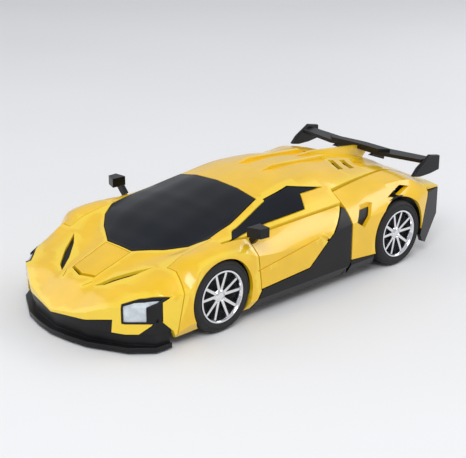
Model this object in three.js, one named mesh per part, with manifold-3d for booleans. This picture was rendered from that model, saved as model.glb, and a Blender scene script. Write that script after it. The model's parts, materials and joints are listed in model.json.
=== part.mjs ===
// A toy sports car that stands up into a robot. Millimetres, +Z up, the car drives towards -Y.
// The origin is on the ground under the middle of the car. Left is +X.
import * as THREE from 'three';
import { mergeVertices } from 'three/addons/utils/BufferGeometryUtils.js';
import Module from 'manifold-3d';

const wasm = await Module();
wasm.setup();

// ---- driving dimensions
const SKIN = 2;
const FRONT_AXLE_Y = -51.5;
const REAR_AXLE_Y = 73.5;
const TYRE_R = 17.5;
const RIM_R = 12.8;
const ARCH_R = 18.3;
const REAR_ARCH_R = 20;
const WHEEL_IN = 38;
const WHEEL_OUT = 51.5;
const PIN_R = 1.5;
const BORE_R = 1.9;
const TRUNK_PIVOT = [50, 12];
const CHEST_PIVOT = [-60, 12];
const SHELL_PIVOT = [100, 14];
const ARM_INNER_X = 37.8;
const DOOR_INNER_X = 44.5;
const SHELL_HALF_W = 43.2;

// Body sections: y, roof height, shoulder x and z, belt x and z, widest x and z.
const STATIONS = [
  [-112, 12, 14, 12, 36, 15, 52, 12], [-98, 23.5, 14, 22.5, 40, 22, 52, 14],
  [-84, 29, 15, 28, 42, 28.5, 52, 20], [-72, 33, 20, 32, 44, 34, 52, 26],
  [-64, 36.3, 27, 34.6, 44, 38.2, 52, 35.4], [-50, 42.5, 34, 39.4, 44, 40, 52, 37.2],
  [-38, 46.3, 33, 43, 44, 40, 52, 35.6], [-30, 48.5, 32, 45, 44, 39.2, 52, 32],
  [-9, 53, 28, 49.8, 44, 40, 52, 30], [12, 55.5, 26, 53, 44, 40.5, 52, 30],
  [34, 55.5, 24, 53, 44, 41, 52, 32], [52, 54, 20, 51.4, 44, 42.5, 52, 33],
  [72, 51, 16, 48.5, 44, 44, 52, 33], [86, 48, 14, 46, 46, 43.5, 52, 33],
  [100, 44, 14, 42.5, 46, 38, 52, 30], [112, 37, 14, 36.5, 46, 35, 52, 28],
];
const PLAN_HALF = [[0, -111], [22, -107], [39, -98.5], [47, -90], [52, -72], [52, 88], [49, 100], [46, 112]];

// ---- solids
const yellow = { color: 0xf2b705, roughness: 0.25, metalness: 0.05 };
const black = { color: 0x141416, roughness: 0.5, metalness: 0 };
const silver = { color: 0xa9adb2, roughness: 0.35, metalness: 0.6 };
const chrome = { color: 0xd9dde0, roughness: 0.12, metalness: 1 };
const glass = { color: 0x10141c, roughness: 0.06, metalness: 0.1 };
const lens = { color: 0xdfe6ea, roughness: 0.1, metalness: 0.2 };
const red = { color: 0x8c1010, roughness: 0.2, metalness: 0 };
const rubber = { color: 0x18181a, roughness: 0.85, metalness: 0 };

function solid(geometry) {
  geometry.deleteAttribute('normal');
  geometry.deleteAttribute('uv');
  const g = mergeVertices(geometry, 1e-4);
  const vertProperties = new Float32Array(g.attributes.position.array);
  return new wasm.Manifold(new wasm.Mesh({ numProp: 3, vertProperties,
    triVerts: new Uint32Array(g.index.array) }));
}

function extruded(points, depth, basis, offset) {
  const shape = new THREE.Shape(points.map(([a, b]) => new THREE.Vector2(a, b)));
  const g = new THREE.ExtrudeGeometry(shape, { depth, bevelEnabled: false });
  g.applyMatrix4(new THREE.Matrix4().makeBasis(...basis.map((v) => new THREE.Vector3(...v))));
  return solid(g.translate(...offset));
}
// side: points are (y, z), pushed from x0 to x1. plan: points are (x, y). front: points are (x, z).
const side = (points, x0, x1) => extruded(points, x1 - x0, [[0, 1, 0], [0, 0, 1], [1, 0, 0]], [x0, 0, 0]);
const plan = (points, z0, z1) => extruded(points, z1 - z0, [[1, 0, 0], [0, 1, 0], [0, 0, 1]], [0, 0, z0]);
const front = (points, y0, y1) => extruded(points, y1 - y0, [[1, 0, 0], [0, 0, 1], [0, -1, 0]], [0, y1, 0]);
const box = (x0, x1, y0, y1, z0, z1) => plan([[x0, y0], [x1, y0], [x1, y1], [x0, y1]], z0, z1);
const both = (half) => [...half, ...half.filter(([x]) => x > 0).reverse().map(([x, y]) => [-x, y])];

function rod(y, z, r, x0, x1, n = 12) {
  const g = new THREE.CylinderGeometry(r, r, x1 - x0, n);
  return solid(g.rotateZ(Math.PI / 2).translate((x0 + x1) / 2, y, z));
}

function lathe(profile, y, z, n) {
  const g = new THREE.LatheGeometry(profile.map(([r, x]) => new THREE.Vector2(r, x)), n, Math.PI / n);
  return solid(g.rotateZ(-Math.PI / 2).translate(0, y, z));
}

function mirrored(s) {
  return s.mirror([1, 0, 0]);
}

// The closed loft through the stations, drawn in by `inset` and running down to `floor`.
function bodyLoft(inset, floor) {
  const rings = STATIONS.map(([y, top, sx, sz, bx, bz, wx, wz]) => {
    const half = [
      [0, top - inset], [sx * 0.55, sz + (top - sz) * 0.75 - inset], [sx, sz - inset],
      [bx - inset * 0.7, bz - inset * 0.8], [wx - inset, wz], [wx - inset * 1.4, 10], [wx - 3 - inset, floor],
    ];
    return [...half, ...half.slice(1).reverse().map(([x, z]) => [-x, z])].map(([x, z]) => [x, y, z]);
  });
  const n = rings[0].length;
  const position = new Float32Array(rings.flat(2));
  const index = [];
  for (let i = 0; i + 1 < rings.length; i++) {
    for (let j = 0; j < n; j++) {
      const [a, b, c, d] = [i * n + j, i * n + (j + 1) % n, (i + 1) * n + j, (i + 1) * n + (j + 1) % n];
      index.push(a, b, d, a, d, c);
    }
  }
  const last = (rings.length - 1) * n;
  for (const [k, first, along] of [[0, 0, false], [-1, last, true]]) {
    const outline = rings.at(k).map(([x, , z]) => new THREE.Vector2(x, z));
    for (const t of THREE.ShapeUtils.triangulateShape(outline, [])) {
      const clockwise = THREE.ShapeUtils.area(t.map((v) => outline[v])) < 0;
      index.push(...(clockwise === along ? t : [t[0], t[2], t[1]]).map((v) => first + v));
    }
  }
  const g = new THREE.BufferGeometry();
  g.setAttribute('position', new THREE.BufferAttribute(position, 3));
  g.setIndex(index);
  return solid(g.toNonIndexed());
}

const planOuter = plan(both(PLAN_HALF), 0, 80);
const planInner = plan(both(PLAN_HALF.map(([x, y]) => [Math.max(x - SKIN, 0),
  y < 0 ? y + SKIN : y - SKIN])), -5, 80);
const skin = bodyLoft(0, 5).intersect(planOuter).subtract(bodyLoft(SKIN, -2).intersect(planInner));

// ---- regions that split the skin into panels
// Moves a polygon's edges in by d.
function inset(points, d) {
  const n = points.length;
  const turn = Math.sign(THREE.ShapeUtils.area(points.map(([x, y]) => new THREE.Vector2(x, y))));
  const normal = (p, q) => {
    const l = Math.hypot(q[0] - p[0], q[1] - p[1]);
    return [-(q[1] - p[1]) / l * turn, (q[0] - p[0]) / l * turn];
  };
  return points.map((p, i) => {
    const [a, b] = [normal(points[(i + n - 1) % n], p), normal(p, points[(i + 1) % n])];
    const k = d / (1 + a[0] * b[0] + a[1] * b[1]);
    return [p[0] + (a[0] + b[0]) * k, p[1] + (a[1] + b[1]) * k];
  });
}
const SCREEN = both([[9.3, -71], [37, -47.5], [28.5, -9]]);
const HATCH = both([[8.6, -93.5], [9.6, -71.6]]);
const HATCH_LID = both([[8.2, -91.9], [9.1, -72]]);
const VENT = [[12.5, -93.5], [17, -95], [31.5, -75], [26.5, -73.5]];
const LAMP = [[36.5, -97], [41.5, -101], [47.6, -92], [50.6, -80.5], [47, -79.5], [42, -88]];
const SIDE_WINDOW = [[-42, 39], [-14, 41.6], [12, 42.6], [16, 48], [33, 48], [12, 51.8], [-10, 48.6],
  [-30, 43.8]];
const FENDER_PLAN = [[37.6, 36], [31, 84], [31, 99], [60, 99], [60, 36]];
const SCREEN_HOLE = plan(SCREEN, 20, 80);
const SCREEN_GLASS = plan(inset(SCREEN, 0.5), 20, 80);
const sideBoth = (points, x0, x1) => side(points, x0, x1).add(side(points, -x1, -x0));
const planBoth = (points, z0, z1) => {
  const s = plan(points, z0, z1);
  return s.add(mirrored(s));
};
const pillar = plan(inset(SCREEN, -3), 20, 80);
const pillarEdge = plan(inset(SCREEN, -3.4), 20, 80);
const arch = (y, r) => rod(y, TYRE_R, r, -60, 60, 28);
const TAIL_LIGHT = [[26, 25], [43.5, 26], [43, 30.5], [24, 29]];
const frontBoth = (points, y0, y1) => {
  const s = front(points, y0, y1);
  return s.add(mirrored(s));
};

const object = new THREE.Group();
function add(name, s, finish) {
  const m = s.getMesh();
  const g = new THREE.BufferGeometry();
  g.setAttribute('position', new THREE.BufferAttribute(new Float32Array(m.vertProperties), 3));
  g.setIndex(new THREE.BufferAttribute(new Uint32Array(m.triVerts), 1));
  const mesh = new THREE.Mesh(g, new THREE.MeshStandardMaterial(finish));
  mesh.name = name;
  object.add(mesh);
}
// The largest body of a cut, without slivers.
function main(s) {
  return s.decompose().sort((a, b) => b.volume() - a.volume())[0];
}
function addPair(name, s, finish) {
  const kept = main(s);
  add(`${name}_left`, kept, finish);
  add(`${name}_right`, mirrored(kept), finish);
}

// ---- base: the chassis that stays on the ground
const earBase = side([[88, 8], [100, 9], [104, 12], [104, 16], [100, 18.5], [88, 18]], 19, 23.4);
let chassis = box(-34, 34, 33, 92, 3, 7)
  .subtract(box(-23.6, 23.6, 20, 61.5, 0, 20))
  .subtract(box(-12, 12, 64, 84, 0, 20))
  .subtract(box(24.5, 32, 66, 78, 0, 4.8));
for (const s of [1, -1]) {
  const post = side([[39, 5], [61, 5], [58, 15], [54, 17.5], [46, 17.5], [42, 14]], s > 0 ? 24 : -30,
    s > 0 ? 30 : -24);
  chassis = chassis.add(post).add(s > 0 ? earBase : mirrored(earBase));
  chassis = chassis.add(box(s > 0 ? 19 : -23.4, s > 0 ? 23.4 : -19, 86, 92, 6, 9));
}
chassis = chassis.subtract(rod(...TRUNK_PIVOT, BORE_R, -40, 40))
  .subtract(rod(...SHELL_PIVOT, BORE_R, -40, 40));
add('base_frame', chassis, black);
add('trunk_pin', rod(...TRUNK_PIVOT, PIN_R, -29.5, 29.5), silver);
add('battery_box', box(-11, 11, 62.3, 86, 7.4, 22), black);
add('battery_cover', box(-11.6, 11.6, 64.4, 83.6, 3, 4.8), black);
add('control_board', box(-11, 11, 63, 85, 22.6, 24.2), silver);
add('power_switch', box(26, 30.5, 68, 73, 2.4, 4.4), black);
addPair('gearbox', side([[62, 8], [84, 8], [84, 24], [79, 29], [68, 29], [62, 24]], 14, 33), silver);
addPair('foot', front([[24.3, 7.4], [36, 7.4], [36, 9.5], [32, 13], [24.3, 13]], 33, 38.5)
  .add(box(24.3, 36, 24, 36, 3, 10)).subtract(box(20, 40, 32.6, 40, 0, 7.4)), yellow);

// ---- wheels
const TYRE_SIDES = 24;
const tyreR = TYRE_R / Math.cos(Math.PI / TYRE_SIDES);
const tyreProfile = [
  [RIM_R + 0.3, WHEEL_IN], [tyreR - 1.5, WHEEL_IN], [tyreR, WHEEL_IN + 1.5], [tyreR, WHEEL_OUT - 1.5],
  [tyreR - 1.5, WHEEL_OUT], [RIM_R + 0.3, WHEEL_OUT], [RIM_R + 0.3, WHEEL_IN],
];
const rimProfile = [
  [0, 34.4], [PIN_R, 34.4], [PIN_R, WHEEL_IN + 1], [RIM_R, WHEEL_IN + 1], [RIM_R, WHEEL_OUT - 0.4],
  [RIM_R - 1.2, WHEEL_OUT - 0.4], [RIM_R - 2.4, WHEEL_OUT - 4], [3.4, WHEEL_OUT - 2], [2.4, WHEEL_OUT - 0.8],
  [0, WHEEL_OUT - 0.8],
];
for (const [name, y] of [['front', FRONT_AXLE_Y], ['rear', REAR_AXLE_Y]]) {
  addPair(`tyre_${name}`, lathe(tyreProfile, y, TYRE_R, TYRE_SIDES), rubber);
  addPair(`rim_${name}`, lathe(rimProfile, y, TYRE_R, 20), chrome);
}

// ---- trunk: legs and torso, the belly of the car
const leg = side([[3, 6], [18, 5], [40, 4.6], [47, 3.6], [54, 4.6], [58.4, 9], [58.4, 15], [54, 19], [20,
  17], [3, 16]], 6, 23);
addPair('leg_lower', leg.intersect(box(0, 30, 22.4, 70, 0, 30))
  .subtract(rod(...TRUNK_PIVOT, BORE_R, 0, 30)), yellow);
addPair('leg_upper', leg.intersect(box(8, 21, -5, 22, 0, 30)), silver);
const waist = front([[-12, 4.5], [12, 4.5], [16, 7.6], [16, 15], [-16, 15], [-16, 7.6]], -20, -5);
add('waist_armor', waist.add(box(-21, 21, -6, 2.6, 8, 17)), silver);
const torsoEar = side([[-65, 10.5], [-63, 7.5], [-57, 7], [-54, 9.4], [-46, 9.4], [-46, 17], [-62, 16.6],
  [-65, 14]], 13, 17);
let torso = box(-27, 27, -48, -20.4, 9.4, 17).add(torsoEar).add(mirrored(torsoEar));
torso = torso.subtract(rod(...CHEST_PIVOT, BORE_R, -40, 40)).subtract(box(-12, 12, -44, -24, 12.4, 30));
add('torso_frame', torso, black);
add('transform_motor', rod(-34, 19.5, 6.6, -11.5, 11.5, 14), silver);
const CHEST_V = [[0, -47], [26, -52], [27, -38], [14, -21], [0, -24]];
const PLATE_V = [[0, -46], [9, -47], [7, -32], [0, -28]];
add('chest_armor', plan(both(CHEST_V), 5.5, 9).subtract(plan(both(PLATE_V), 0, 20)), yellow);
add('chest_plate', plan(both(inset(PLATE_V, 0.4).map(([x, y]) => [Math.max(x, 0), y])), 4.8, 9), silver);

// ---- chest: the nose of the car
const NOSE_SIDE = [[-130, 9.4], [-80, 9.4], [-78.4, 5], [-72.4, 37], [-72.4, 60], [-130, 60]];
const noseMid = box(-37.5, 37.5, -130, -46.4, 9.4, 80);
const intake = [[12, 9], [33, 9], [31, 13.4], [15, 12.6]];
const nose = skin.intersect(side(NOSE_SIDE, -60, 60).add(noseMid))
  .subtract(SCREEN_HOLE).subtract(plan(HATCH, 15, 80)).subtract(planBoth(VENT, 15, 80))
  .subtract(planBoth(LAMP, 14, 80)).subtract(frontBoth(intake, -130, -92));
add('nose_shell', main(nose), yellow);
addPair('hood_vent', skin.intersect(plan(inset(VENT, 0.5), 15, 80)), black);
addPair('headlight', skin.intersect(plan(inset(LAMP, 0.6), 14.4, 80)), lens);
const lip = plan(both([[0, -112], [23, -108], [41, -98.5], [49, -89], [49.6, -80.6], [44.5, -80.6], [38,
  -92], [0, -101]]), 1, 4.6);
const lipWall = plan(both([[0, -108.5], [21, -105], [38, -96.4], [47, -88], [48, -80.6], [45, -80.6], [36,
  -93], [0, -102]]), 4.5, 9);
add('front_splitter', lip.add(lipWall), black);
add('grille', plan(both([[0, -106.4], [21, -102.4], [35, -95.4], [35, -93], [0, -103.4]]), 9.3, 14.6), black);
const frameU = [[-33, -101], [33, -101], [33, -60], [11, -60], [11, -94.4], [-11, -94.4], [-11, -60],
  [-33, -60]];
const chestEar = side([[-65, 12], [-62.5, 8], [-57.5, 8], [-55.5, 12], [-60, 19], [-65, 19]], 17.6, 22);
const chestFrame = plan(frameU, 18, 20.4).add(chestEar).add(mirrored(chestEar));
add('chest_frame', chestFrame.intersect(box(-40, 40, -97.6, -54, 0, 40))
  .subtract(rod(...CHEST_PIVOT, BORE_R, -40, 40)), black);
add('chest_pin', rod(...CHEST_PIVOT, PIN_R, -21.6, 21.6), silver);
add('windscreen', main(skin.intersect(SCREEN_GLASS)), glass);

// ---- head, folded under its hatch
add('head_hatch', main(skin.intersect(plan(HATCH_LID, 15, 80))), yellow);
const skull = side([[-88.5, 18], [-86, 15.5], [-83, 14.2], [-77, 14], [-73, 17], [-73, 22], [-77, 25],
  [-86, 25], [-88.5, 22]], -6.5, 6.5);
const faceCut = side([[-84.4, 10], [-79, 10], [-79, 15.4], [-84.4, 15.8]], -5, 5);
const ear = side([[-89.4, 18.4], [-84, 16], [-80, 19], [-84, 22], [-89, 22]], 6, 8.2);
add('robot_head', skull.subtract(faceCut).add(ear).add(mirrored(ear)), black);
add('head_visor', box(-4.6, 4.6, -84, -79.4, 14.2, 15.1), lens);

// ---- arms: front fenders and doors
const ARM_SIDE = [[-77.9, 5], [-71.9, 37], [-71.9, 60], [34, 60], [33, 40], [5, 17], [-27, 15], [-33, 6]];
const armRegion = side(ARM_SIDE, ARM_INNER_X, 60).subtract(box(30, DOOR_INNER_X, -46, 60, 0, 80));
addPair('arm_shell', skin.intersect(armRegion).subtract(arch(FRONT_AXLE_Y, ARCH_R))
  .subtract(SCREEN_HOLE), yellow);
const armPlan = [
  [12, -73.6], [37.3, -73.6], [37.3, -31.5], [49.2, -31.5], [49.2, 16], [45.2, 16], [45.2, -27.5], [34,
    -27.5],
  [34, -67], [12, -67],
];
addPair('arm_frame', plan(armPlan, 20.8, 25).add(box(34, 37.3, -57, -46, 12, 22))
  .subtract(rod(FRONT_AXLE_Y, TYRE_R, BORE_R, 30, 40)), black);
const mirrorHead = plan([[50.5, -36], [57.5, -33.5], [58, -28.5], [50.5, -28]], 42.6, 47.6);
addPair('mirror', front([[46.6, 39.4], [49, 37], [54.5, 43], [50.6, 43.4]], -32, -28.5)
  .add(mirrorHead), black);

// ---- shell: roof, deck, rear fenders, bumper and wing
const roofRegion = box(-SHELL_HALF_W, SHELL_HALF_W, -46, 35.6, 34, 80)
  .add(plan(both([[43.2, 35], [37, 36], [30.5, 84], [30.5, 99.4], [46, 99.4], [46, 113]].map(([x,
    y]) => [x, y])), 34.4, 80));
let roof = skin.intersect(roofRegion).subtract(SCREEN_HOLE).subtract(sideBoth(SIDE_WINDOW, 20, 60)
  .subtract(pillar));
const fin = side([[30, 54], [60, 55], [103, 50.5], [106, 48.5], [100, 43.2], [60, 51]], -0.9, 0.9);
const ridge = side([[14, 54.6], [24, 57], [60, 54], [60, 50.8], [30, 54]], 8, 10);
roof = roof.add(fin).add(ridge).add(mirrored(ridge));
add('roof_shell', main(roof), yellow);
addPair('side_window', skin.intersect(side(inset(SIDE_WINDOW, 0.4), 20, SHELL_HALF_W))
  .subtract(pillarEdge), glass);
const FENDER_SIDE = [[36, 13], [54, 11.5], [92, 11.5], [99.4, 33], [99.4, 60], [36, 60]];
addPair('rear_fender', skin.intersect(plan(FENDER_PLAN, 0, 80)).intersect(side(FENDER_SIDE, 20, 60))
  .subtract(arch(REAR_AXLE_Y, REAR_ARCH_R)), yellow);
const BUMPER_SIDE = [[95.4, 7.6], [99, 6], [114, 21], [114, 34], [99.8, 34], [99.8, 32.6], [92.6, 12]];
const shellLug = side([[96, 14], [98, 9.6], [104, 10], [111, 16], [111, 24], [98, 20]], 24, 27.4)
  .subtract(rod(...SHELL_PIVOT, BORE_R, 20, 30));
const bumper = skin.intersect(side(BUMPER_SIDE, -60, 60)).subtract(frontBoth(TAIL_LIGHT, 100, 120));
add('rear_bumper', main(bumper.add(shellLug).add(mirrored(shellLug))), black);
addPair('tail_light', skin.intersect(front(inset(TAIL_LIGHT, 0.5), 100, 120)), red);
const SILL_SIDE = [[-24, 5], [50, 5], [53, 11], [35.4, 13], [35.4, 38.6], [30, 37], [4, 15.5], [-24, 14.5]];
addPair('sill_panel', side(SILL_SIDE, 40.4, SHELL_HALF_W), black);
add('shell_pin', rod(...SHELL_PIVOT, PIN_R, -27.2, 27.2), silver);
const bladeHalf = [[0, 96], [18, 94], [43.4, 99], [43.4, 107], [18, 103], [0, 105]];
const pylon = side([[93, 48.4], [103, 44.2], [105, 50], [97, 50]], 12.2, 14.6);
const blade = plan(both(bladeHalf), 49.4, 51.4).add(pylon).add(mirrored(pylon));
add('wing_blade', main(blade.subtract(roof)), black);
addPair('wing_end', side([[90, 44], [98, 43], [112, 44], [112, 52], [104, 53.5], [94, 48]], 43.8, 46.2),
  black);

export default object;
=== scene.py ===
# A toy sports car that stands up into a robot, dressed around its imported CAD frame.
import json
import math
import bmesh
import bpy
from mathutils import Matrix, Vector


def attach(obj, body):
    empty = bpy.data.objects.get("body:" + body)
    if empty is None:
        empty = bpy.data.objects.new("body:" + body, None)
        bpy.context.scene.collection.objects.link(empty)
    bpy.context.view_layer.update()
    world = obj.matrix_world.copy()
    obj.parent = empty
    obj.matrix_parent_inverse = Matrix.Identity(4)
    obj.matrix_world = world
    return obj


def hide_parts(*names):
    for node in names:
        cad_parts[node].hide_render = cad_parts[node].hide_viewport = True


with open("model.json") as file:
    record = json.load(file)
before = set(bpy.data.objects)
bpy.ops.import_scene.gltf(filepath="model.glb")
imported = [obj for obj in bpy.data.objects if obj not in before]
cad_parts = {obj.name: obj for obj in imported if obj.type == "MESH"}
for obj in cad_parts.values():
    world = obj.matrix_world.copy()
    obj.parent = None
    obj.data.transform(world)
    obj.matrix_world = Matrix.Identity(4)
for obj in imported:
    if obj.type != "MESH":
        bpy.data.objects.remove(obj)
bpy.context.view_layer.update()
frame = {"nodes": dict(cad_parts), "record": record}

MM = 0.001
SKIN = 2.0
TYRE_R = 17.5
RIM_R = 12.8
WHEEL_IN, WHEEL_OUT = 38.0, 51.5
FRONT_AXLE_Y, REAR_AXLE_Y = -51.5, 73.5
ARCH_R = 18.3
REAR_ARCH_R = 20.0
ARM_INNER_X, DOOR_INNER_X, SHELL_HALF_W = 37.8, 44.5, 43.2
PHOTO_AZIMUTH, PHOTO_ELEVATION, CAMERA_DISTANCE = 47.3, 19.7, 0.581
LENS = 87
AIM = Vector((0, 0.002, 0.024))

# ---------------------------------------------------------------- camera, light and floor
def add_camera():
    """The viewing angle of the reference, with no lens shift."""
    azimuth, elevation = math.radians(PHOTO_AZIMUTH), math.radians(PHOTO_ELEVATION)
    data = bpy.data.cameras.new("camera")
    data.lens = LENS
    cam = bpy.data.objects.new("camera", data)
    flat = math.cos(elevation)
    direction = Vector((math.sin(azimuth) * flat, -math.cos(azimuth) * flat, math.sin(elevation)))
    cam.location = AIM + direction * CAMERA_DISTANCE
    cam.rotation_euler = direction.to_track_quat("Z", "Y").to_euler()
    bpy.context.scene.collection.objects.link(cam)
    bpy.context.scene.camera = cam


def add_light(name, at, size, power, target=(0, 0, 0.02)):
    data = bpy.data.lights.new(name, "AREA")
    data.shape = "RECTANGLE"
    data.size, data.size_y = size
    data.energy = power
    lamp = bpy.data.objects.new(name, data)
    lamp.location = at
    lamp.rotation_euler = (Vector(at) - Vector(target)).to_track_quat("Z", "Y").to_euler()
    bpy.context.scene.collection.objects.link(lamp)


# ---------------------------------------------------------------- materials
def shader(name, color, roughness, metallic=0.0, coat=0.0, spread=0.06, scale=60.0, bump=0.02, fine=900.0,
           wear=0.0, grain=(1, 1, 1), gleam=0.5):
    """Moulded or painted plastic and metal: soft colour drift, a fine surface and paler worn edges."""
    mat = bpy.data.materials.new(name)
    mat.use_nodes = True
    nodes, links = mat.node_tree.nodes, mat.node_tree.links
    bsdf = nodes["Principled BSDF"]
    bsdf.inputs["Metallic"].default_value = metallic
    bsdf.inputs["Coat Weight"].default_value = coat
    bsdf.inputs["Coat Roughness"].default_value = 0.06
    bsdf.inputs["Specular IOR Level"].default_value = gleam
    place = nodes.new("ShaderNodeTexCoord")
    stretch = nodes.new("ShaderNodeMapping")
    stretch.inputs["Scale"].default_value = grain
    links.new(place.outputs["Object"], stretch.inputs["Vector"])
    drift = nodes.new("ShaderNodeTexNoise")
    drift.inputs["Scale"].default_value = scale
    drift.inputs["Detail"].default_value = 4
    links.new(stretch.outputs["Vector"], drift.inputs["Vector"])
    ramp = nodes.new("ShaderNodeValToRGB")
    dark = [c * (1 - spread) for c in color]
    light = [min(1, c * (1 + spread)) for c in color]
    ramp.color_ramp.elements[0].position, ramp.color_ramp.elements[1].position = 0.35, 0.68
    ramp.color_ramp.elements[0].color = (*dark, 1)
    ramp.color_ramp.elements[1].color = (*light, 1)
    links.new(drift.outputs["Fac"], ramp.inputs["Fac"])
    tone = ramp.outputs["Color"]
    if wear:
        geometry = nodes.new("ShaderNodeNewGeometry")
        edge = nodes.new("ShaderNodeValToRGB")
        edge.color_ramp.elements[0].position, edge.color_ramp.elements[1].position = 0.54, 0.62
        edge.color_ramp.elements[1].color = (wear, wear, wear, 1)
        links.new(geometry.outputs["Pointiness"], edge.inputs["Fac"])
        mix = nodes.new("ShaderNodeMix")
        mix.data_type = "RGBA"
        mix.inputs[7].default_value = (*[min(1, c * 1.3 + 0.05) for c in color], 1)
        links.new(edge.outputs["Color"], mix.inputs[0])
        links.new(tone, mix.inputs[6])
        tone = mix.outputs[2]
    links.new(tone, bsdf.inputs["Base Color"])
    rough = nodes.new("ShaderNodeMapRange")
    rough.inputs["To Min"].default_value = max(0.02, roughness * 0.8)
    rough.inputs["To Max"].default_value = min(1, roughness * 1.25)
    links.new(drift.outputs["Fac"], rough.inputs["Value"])
    links.new(rough.outputs["Result"], bsdf.inputs["Roughness"])
    skin_noise = nodes.new("ShaderNodeTexNoise")
    skin_noise.inputs["Scale"].default_value = fine
    links.new(stretch.outputs["Vector"], skin_noise.inputs["Vector"])
    relief = nodes.new("ShaderNodeBump")
    relief.inputs["Strength"].default_value = bump
    relief.inputs["Distance"].default_value = 0.0003
    links.new(skin_noise.outputs["Fac"], relief.inputs["Height"])
    links.new(relief.outputs["Normal"], bsdf.inputs["Normal"])
    return mat


LOOKS = {
    "body_yellow": shader("body_yellow", (0.91, 0.55, 0.004), 0.24, coat=0.5, spread=0.05, bump=0.015,
        wear=0.5),
    "black_plastic": shader("black_plastic", (0.008, 0.008, 0.009), 0.34, gleam=0.28, spread=0.3,
        bump=0.12, fine=1800),
    "silver_plastic": shader("silver_plastic", (0.42, 0.43, 0.45), 0.3, metallic=0.6, bump=0.05, wear=0.6),
    "wheel_chrome": shader("wheel_chrome", (0.82, 0.83, 0.85), 0.12, metallic=1, spread=0.03, bump=0.01),
    "tinted_window": shader("tinted_window", (0.004, 0.006, 0.010), 0.06, gleam=0.25, spread=0.4,
        scale=18, bump=0.004),
    "lamp_lens": shader("lamp_lens", (0.62, 0.68, 0.72), 0.08, coat=0.8, spread=0.15, scale=300, bump=0.1,
        fine=500),
    "tail_red": shader("tail_red", (0.42, 0.008, 0.008), 0.12, coat=0.8, spread=0.2, scale=300, bump=0.1,
        fine=600),
    "tyre_rubber": shader("tyre_rubber", (0.014, 0.014, 0.015), 0.72, spread=0.3, scale=140, bump=0.3,
        fine=1500),
    "pin_steel": shader("pin_steel", (0.5, 0.5, 0.52), 0.28, metallic=1, grain=(1, 8, 8), bump=0.08),
}
CAD_BEVEL = 0.35


def round_edges(obj, width, corner):
    """Rounds the edges that turn by more than corner, in degrees."""
    edge = obj.modifiers.new("edge", "BEVEL")
    edge.width = width * MM
    edge.segments = 2
    edge.limit_method = "ANGLE"
    edge.angle_limit = math.radians(corner)


# The CAD pieces that stay visible get their slot's look and rounded edges.
SLOT_OF = {part["node"]: part["material_slot"] for part in frame["record"]["subparts"]}
for node, obj in frame["nodes"].items():
    if not obj.material_slots:
        obj.data.materials.append(LOOKS[SLOT_OF[node]])
    for place in obj.material_slots:
        place.link = "OBJECT"
        place.material = LOOKS[SLOT_OF[node]]
    round_edges(obj, CAD_BEVEL, 40)

# ---------------------------------------------------------------- solids in millimetres
def solid(name, points, faces):
    """A closed mesh from points in millimetres."""
    mesh = bpy.data.meshes.new(name)
    mesh.from_pydata([tuple(c * MM for c in p) for p in points], [], faces)
    work = bmesh.new()
    work.from_mesh(mesh)
    bmesh.ops.remove_doubles(work, verts=work.verts, dist=1e-7)
    bmesh.ops.recalc_face_normals(work, faces=work.faces)
    work.to_mesh(mesh)
    work.free()
    obj = bpy.data.objects.new(name, mesh)
    bpy.context.scene.collection.objects.link(obj)
    return obj


def prism(points, low, high, place):
    """An outline pushed from low to high; place turns (a, b, height) into (x, y, z)."""
    n = len(points)
    ring = [place(a, b, low) for a, b in points] + [place(a, b, high) for a, b in points]
    walls = [(i, (i + 1) % n, n + (i + 1) % n, n + i) for i in range(n)]
    return solid("prism", ring, walls + [tuple(range(n))[::-1], tuple(range(n, 2 * n))])


def side(points, x0, x1):
    return prism(points, x0, x1, lambda y, z, x: (x, y, z))


def plan(points, z0, z1):
    return prism(points, z0, z1, lambda x, y, z: (x, y, z))


def front(points, y0, y1):
    return prism(points, y0, y1, lambda x, z, y: (x, y, z))


def box(x0, x1, y0, y1, z0, z1):
    return plan([(x0, y0), (x1, y0), (x1, y1), (x0, y1)], z0, z1)


def circle(y, z, r, n=72, start=0.0, stop=2 * math.pi):
    angles = [start + (stop - start) * i / n for i in range(n)]
    return [(y + r * math.cos(a), z + r * math.sin(a)) for a in angles]


def both(half):
    return half + [(-x, y) for x, y in reversed(half) if x > 0]


def flip(points):
    return [(-x, y) for x, y in points]


def inset(points, d):
    """Moves a polygon's edges in by d."""
    n = len(points)
    ends = [(points[i], points[(i + 1) % n]) for i in range(n)]
    area = sum(p[0] * q[1] - q[0] * p[1] for p, q in ends)
    turn = 1 if area > 0 else -1

    def normal(p, q):
        length = math.hypot(q[0] - p[0], q[1] - p[1])
        return (-(q[1] - p[1]) / length * turn, (q[0] - p[0]) / length * turn)

    moved = []
    for i, p in enumerate(points):
        a, b = normal(points[i - 1], p), normal(p, points[(i + 1) % n])
        k = d / (1 + a[0] * b[0] + a[1] * b[1])
        moved.append((p[0] + (a[0] + b[0]) * k, p[1] + (a[1] + b[1]) * k))
    return moved


def boolean(obj, other, operation):
    """Cuts or joins obj by other for good."""
    modifier = obj.modifiers.new("cut", "BOOLEAN")
    modifier.operation = operation
    modifier.object = other
    modifier.solver = "EXACT"
    graph = bpy.context.evaluated_depsgraph_get()
    mesh = bpy.data.meshes.new_from_object(obj.evaluated_get(graph))
    obj.modifiers.clear()
    obj.data = mesh
    bpy.data.objects.remove(other)
    return obj


def copy(obj):
    twin = bpy.data.objects.new(obj.name, obj.data.copy())
    bpy.context.scene.collection.objects.link(twin)
    return twin


def within(source, *regions):
    obj = copy(source)
    for region in regions:
        boolean(obj, region, "INTERSECT")
    return obj


def without(obj, *regions):
    for region in regions:
        boolean(obj, region, "DIFFERENCE")
    return obj


def together(*parts):
    first = parts[0]
    for other in parts[1:]:
        boolean(first, other, "UNION")
    return first


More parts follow.
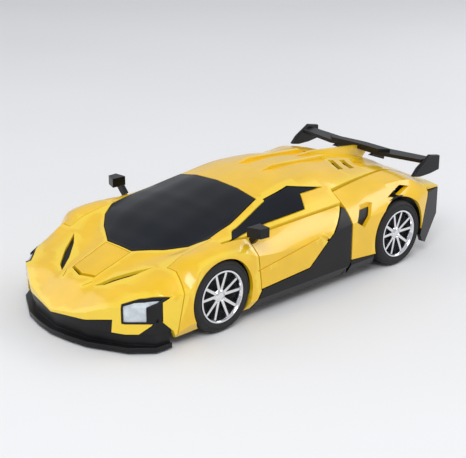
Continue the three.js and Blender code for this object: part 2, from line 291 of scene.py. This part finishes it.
def dress(obj, name, look, body, nodes=(), crease=28, bevel=0.22):
    """Names a finished piece, gives it its look and puts it on its body."""
    obj.name = name
    obj.data.name = name
    obj.data.materials.clear()
    obj.data.materials.append(LOOKS[look])
    for face in obj.data.polygons:
        face.material_index = 0
    if bevel:
        round_edges(obj, bevel, 48)
    obj.data.set_sharp_from_angle(angle=math.radians(crease))
    for face in obj.data.polygons:
        face.use_smooth = True
    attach(obj, body)
    if nodes:
        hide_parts(*nodes)
    return obj


def mirror_of(obj):
    twin = copy(obj)
    twin.data.transform(Matrix.Scale(-1, 4, (1, 0, 0)))
    twin.data.flip_normals()
    return twin


def dress_pair(obj, name, look, body, node=None, **more):
    """The left piece and its mirror image. body may hold {} for left or right, and so may node."""
    twin = mirror_of(obj)
    for piece, hand in ((obj, "left"), (twin, "right")):
        nodes = [node.format(hand)] if node else []
        dress(piece, f"{name}_{hand}", look, body.format(hand), nodes, **more)


# ---------------------------------------------------------------- body loft
STATIONS = [
    (-112, 12, 14, 12, 36, 15, 52, 12), (-98, 23.5, 14, 22.5, 40, 22, 52, 14),
    (-84, 29, 15, 28, 42, 28.5, 52, 20), (-72, 33, 20, 32, 44, 34, 52, 26),
    (-64, 36.3, 27, 34.6, 44, 38.2, 52, 35.4), (-50, 42.5, 34, 39.4, 44, 40, 52, 37.2),
    (-38, 46.3, 33, 43, 44, 40, 52, 35.6), (-30, 48.5, 32, 45, 44, 39.2, 52, 32),
    (-9, 53, 28, 49.8, 44, 40, 52, 30), (12, 55.5, 26, 53, 44, 40.5, 52, 30),
    (34, 55.5, 24, 53, 44, 41, 52, 32), (52, 54, 20, 51.4, 44, 42.5, 52, 33),
    (72, 51, 16, 48.5, 44, 44, 52, 33), (86, 48, 14, 46, 46, 43.5, 52, 33),
    (100, 44, 14, 42.5, 46, 38, 52, 30), (112, 37, 14, 36.5, 46, 35, 52, 28),
]
PLAN_HALF = [(0, -111), (22, -107), (39, -98.5), (47, -90), (52, -72), (52, 88), (49, 100), (46, 112)]
STEP = 2.0
ACROSS = 4
BULGE = (0.0, 0.0, 0.03, 0.05, 0.0, 0.0)


def station_at(y):
    """The section at y, on a smooth curve through the stations."""
    k = max(i for i in range(len(STATIONS) - 1) if STATIONS[i][0] <= y)
    a, b = STATIONS[k], STATIONS[k + 1]
    before, after = STATIONS[max(k - 1, 0)], STATIONS[min(k + 2, len(STATIONS) - 1)]
    width = b[0] - a[0]
    t = (y - a[0]) / width
    out = []
    for i in range(1, 8):
        ma = (b[i] - before[i]) / (b[0] - before[0]) * width * 0.8
        mb = (after[i] - a[i]) / (after[0] - a[0]) * width * 0.8
        out.append((2 * t**3 - 3 * t**2 + 1) * a[i] + (t**3 - 2 * t**2 + t) * ma
                   + (3 * t**2 - 2 * t**3) * b[i] + (t**3 - t**2) * mb)
    return out


def body_loft(drawn_in, floor):
    """The closed body through the stations, drawn in by that much, down to floor."""
    rings = []
    ys = [-112 + STEP * i for i in range(int(224 / STEP))] + [111.999]
    for y in ys:
        top, sx, sz, bx, bz, wx, wz = station_at(y)
        key = [(0, top - drawn_in), (sx * 0.55, sz + (top - sz) * 0.75 - drawn_in), (sx, sz - drawn_in),
               (bx - drawn_in * 0.7, bz - drawn_in * 0.8), (wx - drawn_in, wz), (wx - drawn_in * 1.4, 10),
               (wx - 3 - drawn_in, floor)]
        half = []
        for (p, q, swell) in zip(key, key[1:], BULGE):
            dx, dz = q[0] - p[0], q[1] - p[1]
            for i in range(ACROSS):
                t = i / ACROSS
                out = swell * 4 * t * (1 - t)
                half.append((p[0] + dx * t - dz * out, p[1] + dz * t + dx * out))
        half.append(key[-1])
        rings.append([(x, y, z) for x, z in half] + [(-x, y, z) for x, z in reversed(half[1:])])
    n = len(rings[0])
    faces = []
    for i in range(len(rings) - 1):
        for j in range(n):
            k = (j + 1) % n
            faces.append((i * n + j, i * n + k, (i + 1) * n + k, (i + 1) * n + j))
    last = (len(rings) - 1) * n
    faces += [tuple(range(n)), tuple(range(last, last + n))]
    return solid("loft", [p for ring in rings for p in ring], faces)


inner_plan = [(max(x - SKIN, 0), y + SKIN if y < 0 else y - SKIN) for x, y in PLAN_HALF]
outer = boolean(body_loft(0, 5), plan(both(PLAN_HALF), 0, 80), "INTERSECT")
inner = boolean(body_loft(SKIN, -2), plan(both(inner_plan), -5, 80), "INTERSECT")
skin = boolean(outer, inner, "DIFFERENCE")

# ---------------------------------------------------------------- the outlines of the panels
SCREEN = both([(9.3, -71), (23, -63), (32, -55.5), (36.6, -47.5), (34.8, -32), (28.5, -9)])
HATCH = both([(0, -94.6), (8.8, -92.4), (9.6, -71.6)])
HATCH_LID = both([(0, -93), (8.3, -91), (9.1, -72)])
VENT = [(12.6, -95.4), (17.6, -93), (25, -84.5), (31, -75), (24.4, -80), (17.4, -87.6)]
LAMP = [(35.5, -97.6), (40.5, -102), (45.4, -95), (48.2, -87), (49.2, -79.4), (46.2, -84), (42.4, -89.6),
    (38.4, -94)]
SIDE_WINDOW = [(-42, 39), (-14, 41.6), (12, 42.6), (16, 48), (33, 48), (12, 51.8), (-10, 48.6), (-30, 43.8)]
NOSE_SIDE = [(-130, 9.4), (-80, 9.4), (-78.4, 5), (-72.4, 37), (-72.4, 60), (-130, 60)]
NOTCH = [(-94.5, 9), (-91.5, 12), (-87, 16.6), (-80.6, 9.8), (-80.6, 9)]
MOUTH = [(-33, 9), (33, 9), (33.6, 15.6), (20, 13.2), (0, 11.6), (-20, 13.2), (-33.6, 15.6)]
# The outline of the strip under each door, coloured black as painted shade for the shadow beneath the door.
ARM_SIDE = [(-77.9, 5), (-71.9, 37), (-71.9, 60), (34, 60), (33, 40), (5, 17), (-27, 15), (-33, 6)]
SHADED_SILL_OUTLINE = [(-32, 5.2), (-26.9, 14.4), (5.2, 16.4), (33.4, 39.4), (35.2, 39.4), (35.2, 12), (30, 5.2)]
FENDER_PLAN = [(37.6, 36), (31, 84), (31, 99), (60, 99), (60, 36)]
FENDER_SIDE = [(36, 13), (54, 11.5), (92, 11.5), (99.4, 33), (99.4, 60), (36, 60)]
ROOF_PLAN = both([(43.2, 35), (35.8, 36), (29.4, 84), (29.4, 99.4), (46, 99.4), (46, 113)])
BUMPER_SIDE = [(95.4, 7.6), (99, 6), (114, 21), (114, 34), (99.8, 34), (99.8, 32.6), (92.6, 12)]
TAIL_LIGHT = [(26, 25), (43.5, 26), (43, 30.5), (24, 29)]


def arch(y, r=ARCH_R):
    return side(circle(y, TYRE_R, r), -60, 60)


# ---------------------------------------------------------------- chest: nose, lamps and vents
def build_nose():
    """The hood and nose, its hatch over the head, the black mouth and the side notches."""
    beyond = without(box(-80, 80, -130, -40, -5, 90), side(NOSE_SIDE, -90, 90),
        box(-37.5, 37.5, -140, -30, 9.4, 100))
    nose = without(copy(skin), plan(SCREEN, 20, 80))
    nose = without(boolean(nose, box(-80, 80, -130, -46.4, 0, 80), "INTERSECT"), beyond)
    cuts = [plan(HATCH, 15, 80), side(NOTCH, 40, 60), side(NOTCH, -60, -40)]
    for points in (VENT, LAMP):
        cuts += [plan(points, 14.2, 80), plan(flip(points), 14.2, 80)]
    cuts += [front(MOUTH, -130, -95)]
    for s in (1, -1):
        cuts.append(plan([(s * x, y) for x, y in ((4, -104), (4.5, -104), (10.4, -94.4), (9.9, -94.2))],
            23, 80))
    dress(without(nose, *cuts), "nose_panel", "body_yellow", "chest", ["nose_shell"])
    dress(within(skin, plan(HATCH_LID, 15, 80)), "hatch_panel", "body_yellow", "head", ["head_hatch"])
    notch = within(skin, side(inset(NOTCH, 0.2), 40, 60))
    dress_pair(notch, "bumper_notch", "black_plastic", "chest", bevel=0)
    mouth = within(skin, front(inset(MOUTH, 0.3), -130, -95))
    mouth.data.transform(Matrix.Translation((0, 1.2 * MM, -0.4 * MM)))
    dress(mouth, "mouth_band", "black_plastic", "chest", bevel=0)


def build_vents():
    """Each hood vent is a black tray under the hood."""
    tray = within(skin, plan(inset(VENT, 0.3), 15, 80))
    tray.data.transform(Matrix.Translation((0, 0, -1.3 * MM)))
    dress_pair(tray, "vent_tray", "black_plastic", "chest", "hood_vent_{}", bevel=0)


def build_lamps():
    """Pale lenses, each in a black surround."""
    glass = within(skin, plan(inset(LAMP, 0.9), 15.2, 80))
    glass.data.transform(Matrix.Translation((-0.5 * MM, 0.4 * MM, -0.5 * MM)))
    dress_pair(glass, "lamp_glass", "lamp_lens", "chest", "headlight_{}")
    frame_ring = without(within(skin, plan(inset(LAMP, 0.3), 14.4, 80)), plan(inset(LAMP, 1.0), 15.1, 80))
    dress_pair(frame_ring, "lamp_bezel", "black_plastic", "chest", bevel=0)


def build_splitter():
    """The lower lip, the wall above it and the grille."""
    lip = plan(both([(0, -112), (12, -110.6), (23, -108), (41, -98.5), (49, -89), (49.6, -80.6),
        (44.5, -80.6),
                     (38, -92), (0, -101)]), 1, 3.4)
    wall = plan(both([(0, -108.5), (21, -105), (38, -96.4), (47, -88), (48, -80.6), (45, -80.6), (36, -93),
                      (0, -102)]), 3.2, 9)
    dress(together(lip, wall), "splitter_blade", "black_plastic", "chest", ["front_splitter"], bevel=0.4)
    dress(plan(both([(0, -104.6), (34, -94.6), (34, -93.4), (0, -103.4)]), 9.2, 14.8), "grille_back",
          "black_plastic", "chest", ["grille"], bevel=0)
    for k in range(3):
        x = 16 + 6 * k
        y = -103.6 + 0.29 * (x - 2)
        dress_pair(box(x, x + 0.9, y - 1.2, y + 2, 9.3, 13.2), f"grille_fin_{k}", "black_plastic",
            "chest", bevel=0)


# ---------------------------------------------------------------- glass
def build_glass():
    """The windscreen with its black band, and the side windows."""
    pane = within(skin, plan(inset(SCREEN, 1.7), 20, 80))
    dress(pane, "screen_glass", "tinted_window", "screen", ["windscreen"], bevel=0.15)
    band = without(within(skin, plan(inset(SCREEN, 0.4), 20, 80)), plan(inset(SCREEN, 1.75), 10, 90))
    dress(band, "screen_band", "black_plastic", "screen", bevel=0)
    window = without(within(skin, side(inset(SIDE_WINDOW, 0.4), 20, SHELL_HALF_W)),
        plan(inset(SCREEN, -3.4), 20, 80))
    dress_pair(window, "window_glass", "tinted_window", "shell", "side_window_{}", bevel=0.15)


# ---------------------------------------------------------------- arms: fenders and doors
def build_arms():
    """Front fenders with doors, mirrors and sills coloured black as painted shade. They slide out as the
    arms.
    """
    region = without(side(ARM_SIDE, ARM_INNER_X, 60), box(30, DOOR_INNER_X, -46, 60, 0, 80))
    arm = without(within(skin, region), arch(FRONT_AXLE_Y), plan(SCREEN, 20, 80))
    groove = side([(8, 34.5), (9.4, 35.2), (26, 23.2), (25.2, 22)], 51.2, 60)
    crease = side([(-30, 24.2), (12, 30.4), (12, 31.2), (-30, 24.9)], 51.5, 60)
    seam = side([(-27.4, 12), (-26.7, 12), (-30.4, 41), (-31.1, 41)], 44, 60)
    dress_pair(without(arm, groove, crease, seam), "door_panel", "body_yellow", "arm_{}", "arm_shell_{}")
    # Painted shade: the strip under the door is black plastic standing in for the shadow there, though the
    # arm's flange is yellow.
    shaded_sill = within(skin, side(SHADED_SILL_OUTLINE, 44, 60))
    dress_pair(shaded_sill, "painted_shade_sill", "black_plastic", "arm_{}", bevel=0)
    head = plan([(50.6, -36.2), (57.4, -33.8), (57.9, -28.6), (50.6, -28)], 42.6, 47.4)
    stalk = front([(46.8, 39.6), (49, 37.4), (54.2, 43), (51, 43.4)], -31.6, -29)
    dress_pair(together(head, stalk), "mirror_shell", "black_plastic", "arm_{}", "mirror_{}", bevel=1.3)
    mirror_face = plan([(51.4, -28.2), (57.1, -28.8), (57.1, -28.2), (51.4, -27.7)], 43.3, 46.7)
    dress_pair(mirror_face, "mirror_glass", "wheel_chrome", "arm_{}", bevel=0)


# ---------------------------------------------------------------- shell: roof, deck, fenders, bumper, wing
def build_roof():
    """Roof and deck in one panel, with its fin, ridges and louvres."""
    region = together(box(-SHELL_HALF_W, SHELL_HALF_W, -46, 35.6, 34, 80), plan(ROOF_PLAN, 34.4, 80))
    roof = without(within(skin, region), plan(SCREEN, 20, 80))
    for x0, x1 in ((20, 60), (-60, -20)):
        roof = without(roof, without(side(SIDE_WINDOW, x0, x1), plan(inset(SCREEN, -3), 20, 80)))
    slots = []
    for k in range(3):
        y = 60 + 9 * k
        for s in (1, -1):
            slots.append(plan([(s * 11, y), (s * 23, y - 4), (s * 23, y), (s * 11, y + 4.4)], 46, 80))
    roof = without(roof, *slots)
    fin = side([(26, 54), (60, 55), (103, 50.6), (106, 48.6), (100, 43.2), (60, 50)], -0.9, 0.9)
    ridges = [side([(8, 54), (20, 57), (58, 54.6), (66, 49), (30, 53)], x, x + 2.2) for x in (7.6, -9.8)]
    dress(together(roof, fin, *ridges), "roof_panel", "body_yellow", "shell", ["roof_shell"])
    tray = within(skin, plan(both([(24.5, 54), (24.5, 84)]), 46, 80))
    tray.data.transform(Matrix.Translation((0, 0, -2.2 * MM)))
    dress(tray, "deck_tray", "black_plastic", "shell", bevel=0)


def build_fenders():
    """Rear fenders with their air scoops and slits."""
    fender = within(skin, plan(FENDER_PLAN, 0, 80), side(FENDER_SIDE, 20, 60))
    scoop = side([(39, 32), (47, 40.5), (54, 38.4), (45, 28)], 47.4, 60)
    slit = side([(66, 38.6), (78, 42.4), (84, 41), (72, 37.4)], 44, 60)
    dress_pair(without(fender, arch(REAR_AXLE_Y, REAR_ARCH_R), scoop, slit), "fender_panel",
        "body_yellow", "shell",
               "rear_fender_{}")
    pocket = within(skin, side([(37, 30), (47, 43), (57, 40), (44, 26)], 36, 60))
    pocket.data.transform(Matrix.Translation((-2.2 * MM, 0, -0.6 * MM)))
    dress_pair(pocket, "scoop_pocket", "black_plastic", "shell", bevel=0)
    rear_skirt = within(skin, side([(35.6, 5.2), (35.6, 12.7), (53, 11.2), (54.6, 5.2)], 44, 60))
    dress_pair(rear_skirt, "rear_skirt", "black_plastic", "shell", bevel=0)


def build_rear():
    """Rear bumper with hinge lugs, tail lights, mesh and diffuser."""
    bumper = within(skin, side(BUMPER_SIDE, -60, 60))
    cuts = [front(TAIL_LIGHT, 100, 120), front(flip(TAIL_LIGHT), 100, 120)]
    lugs = []
    for s in (1, -1):
        x0, x1 = (24, 27.4) if s > 0 else (-27.4, -24)
        lug = side([(96, 14), (98, 9.6), (104, 10), (111, 16), (111, 24), (98, 20)], x0, x1)
        lugs.append(without(lug, side(circle(100, 14, 1.9, 24), -40, 40)))
    mesh_holes = [box(-20 + 5 * k, -17 + 5 * k, 109, 114, 25.2, 29.4) for k in range(8)]
    bumper = together(without(bumper, *cuts, *mesh_holes), *lugs)
    dress(bumper, "bumper_shell", "black_plastic", "shell", ["rear_bumper"])
    dress_pair(within(skin, front(inset(TAIL_LIGHT, 0.4), 100, 120)), "tail_lens", "tail_red", "shell",
               "tail_light_{}", bevel=0.2)
    for k in range(4):
        x = 6 + 9 * k
        dress_pair(side([(95, 6.4), (99, 6.4), (106.5, 13.8), (103, 14.6)], x, x + 1.2),
            f"diffuser_fin_{k}",
                   "black_plastic", "shell", bevel=0.2)


def build_wing():
    """The rear wing on two pylons, with its end plates."""
    half = [(0, 96), (18, 94), (43.4, 99), (43.4, 107), (18, 103.6), (0, 105)]
    blade = together(plan(both(half), 49.4, 51.4), plan(both([(0, 95.6), (17, 94.4), (22, 99), (0, 101)]),
        51.2, 52.8))
    pylons = [side([(92, 48.9), (103, 44.8), (105, 50), (96, 50)], x, x + 2.4) for x in (12.2, -14.6)]
    dress(together(blade, *pylons), "wing_plane", "black_plastic", "shell", ["wing_blade"], bevel=0.5)
    end = side([(90, 44), (96, 42.9), (104, 43), (112, 44), (112, 52), (104, 53.5), (94, 48)], 43.8, 46.2)
    dress_pair(end, "wing_plate", "black_plastic", "shell", "wing_end_{}", bevel=0.5)


def build_liners():
    """A black half tube inside each wheel arch."""
    for y, body, r in ((FRONT_AXLE_Y, "arm_{}", ARCH_R), (REAR_AXLE_Y, "shell", REAR_ARCH_R)):
        outer_arc = circle(y, TYRE_R, r + 0.6, 40, math.radians(-12), math.radians(197))
        inner_arc = circle(y, TYRE_R, r - 0.1, 40, math.radians(-12), math.radians(197))
        liner = side(outer_arc + inner_arc[::-1], 39.5, 49.8)
        dress_pair(liner, "liner_front" if y < 0 else "liner_rear", "black_plastic", body, bevel=0)


# ---------------------------------------------------------------- wheels
def lathe(profile, y, n=96):
    """Spins (radius, x) points about the axle at y."""
    ring = []
    for i in range(n):
        a = 2 * math.pi * i / n
        ring += [(x, y + r * math.sin(a), TYRE_R - r * math.cos(a)) for r, x in profile]
    m = len(profile)
    faces = [(i * m + j, i * m + (j + 1) % m, (i + 1) % n * m + (j + 1) % m, (i + 1) % n * m + j)
             for i in range(n) for j in range(m)]
    return solid("lathe", ring, faces)


def build_wheel(name, y, body):
    """Tyre, rim barrel, back plate and five pairs of spokes for both wheels of an axle."""
    out, low = WHEEL_OUT, WHEEL_IN
    tyre = [(RIM_R + 0.1, low + 0.4), (14.6, low), (16.4, low + 0.5), (TYRE_R - 0.1, low + 1.8),
        (TYRE_R, low + 3)]
    for x in (low + 4.4, low + 6.6, low + 8.8):
        tyre += [(TYRE_R, x - 0.5), (TYRE_R - 0.7, x - 0.3), (TYRE_R - 0.7, x + 0.3), (TYRE_R, x + 0.5)]
    tyre += [(TYRE_R, out - 2.6), (TYRE_R - 0.3, out - 1.3), (16.5, out - 0.4), (15.8, out - 0.1),
        (15.6, out - 0.4),
             (14.4, out), (13.6, out - 0.1), (RIM_R + 0.1, out - 0.6)]
    dress_pair(lathe(tyre, y), f"{name}_tyre_skin", "tyre_rubber", body, f"tyre_{name}_{{}}", crease=35,
        bevel=0)
    barrel = [(RIM_R, low + 1), (RIM_R, out - 0.9), (RIM_R - 0.2, out - 0.3), (RIM_R - 0.9, out - 0.2),
              (RIM_R - 1.3, out - 0.7), (RIM_R - 1.8, out - 4), (RIM_R - 2, low + 1)]
    dress_pair(lathe(barrel, y), f"{name}_rim_barrel", "wheel_chrome", body, crease=35, bevel=0)
    plate = [(1.45, 34.4), (1.45, low + 3), (11, low + 3), (11, low + 4), (1.45, low + 4.6),
        (0.02, low + 4.6), (0.02, 34.4)]
    dress_pair(lathe(plate, y, 48), f"{name}_rim_back", "black_plastic", body, crease=35, bevel=0)
    hub = [(0.02, low + 4), (3.4, low + 4), (3.3, out - 2.6), (2.4, out - 1.5), (1.9, out - 1.3),
        (1.7, out - 1.7),
           (0.02, out - 1.6)]
    spokes = lathe(hub, y, 40)
    for k in range(5):
        for lean in (-1, 1):
            a = 2 * math.pi * k / 5 + lean * 0.2
            b = 2 * math.pi * k / 5 + lean * 0.27
            quad = []
            for r, angle, half in ((2.4, a * 1, 0.75), (11.3, b, 0.62)):
                cy, cz = r * math.sin(angle), r * math.cos(angle)
                quad.append((y + cy - half * math.cos(b), TYRE_R + cz + half * math.sin(b)))
                quad.append((y + cy + half * math.cos(b), TYRE_R + cz - half * math.sin(b)))
            bar = side([quad[0], quad[1], quad[3], quad[2]], out - 4.6, out - 2.2)
            for vertex in bar.data.vertices:
                reach = math.hypot(vertex.co.y / MM - y, vertex.co.z / MM - TYRE_R)
                vertex.co.x += (0.9 if reach > 8 else 0.1) * MM
            boolean(spokes, bar, "UNION")
    dress_pair(spokes, f"{name}_rim_spokes", "wheel_chrome", body, f"rim_{name}_{{}}", crease=30, bevel=0.2)


def build_robot_trim():
    """Raised armour on the limbs and torso, which face the ground in car mode."""
    for s, hand in ((1, "left"), (-1, "right")):
        for k in range(3):
            y = 27 + 6.5 * k
            rib = plan([(s * 8.5, y), (s * 20.5, y), (s * 19, y + 3.6), (s * 10, y + 3.6)], 3.9, 5.4)
            dress(rib, f"shin_rib_{k}_{hand}", "body_yellow" if k < 2 else "silver_plastic", "trunk",
                bevel=0.5)
        knee = plan([(s * 9, 16), (s * 20, 16), (s * 21, 20), (s * 14.5, 24.5), (s * 8, 20)], 3.7, 6.2)
        dress(knee, f"knee_cap_{hand}", "body_yellow", "trunk", bevel=0.6)
        thigh = plan([(s * 10.5, 4.4), (s * 18.5, 4.4), (s * 17.6, 14), (s * 11.4, 14)], 4.2, 6)
        dress(thigh, f"thigh_plate_{hand}", "black_plastic", "trunk", bevel=0.5)
        flank = plan([(s * 17.6, -46.4), (s * 25.4, -49.4), (s * 26, -40), (s * 18.8, -36)], 4.5, 5.6)
        dress(flank, f"chest_flank_{hand}", "silver_plastic", "trunk", bevel=0.4)
        cheek = side([(-88, 19), (-83, 15.2), (-79, 15.2), (-79, 19)], *sorted((s * 5, s * 6.9)))
        dress(cheek, f"head_cheek_{hand}", "silver_plastic", "head", bevel=0.4)
    for k in range(3):
        bar = box(-8 + k, 8 - k, -17.5 + 4 * k, -15.3 + 4 * k, 3.8, 5)
        dress(bar, f"waist_bar_{k}", "black_plastic", "trunk", bevel=0.4)
    crest = side([(-89.6, 17.4), (-84.4, 13.4), (-82, 15), (-86.6, 21)], -1, 1)
    dress(crest, "head_crest", "silver_plastic", "head", bevel=0.3)


add_camera()
add_light("key", (0.5, -0.55, 0.8), (0.5, 0.35), 4)
add_light("fill", (-0.7, -0.5, 0.5), (0.8, 0.6), 1.6)
add_light("back", (0.3, 0.8, 0.6), (0.9, 0.3), 3)
world = bpy.data.worlds.new("studio")
world.use_nodes = True
world.node_tree.nodes["Background"].inputs["Color"].default_value = (0.93, 0.95, 1, 1)
world.node_tree.nodes["Background"].inputs["Strength"].default_value = 0.6
bpy.context.scene.world = world
bpy.context.scene.view_settings.view_transform = "Standard"
floor = solid("floor", [(-1500, -1500, -0.05), (1500, -1500, -0.05), (1500, 1500, -0.05),
    (-1500, 1500, -0.05)],
              [(0, 1, 2, 3)])
floor.data.materials.append(shader("floor_paper", (0.86, 0.86, 0.86), 0.7, spread=0.01, scale=4))

build_nose()
build_vents()
build_lamps()
build_splitter()
build_glass()
build_arms()
build_roof()
build_fenders()
build_rear()
build_wing()
build_liners()
build_robot_trim()
build_wheel("front", FRONT_AXLE_Y, "wheel_front_{}")
build_wheel("rear", REAR_AXLE_Y, "wheel_rear_{}")
bpy.data.objects.remove(skin)
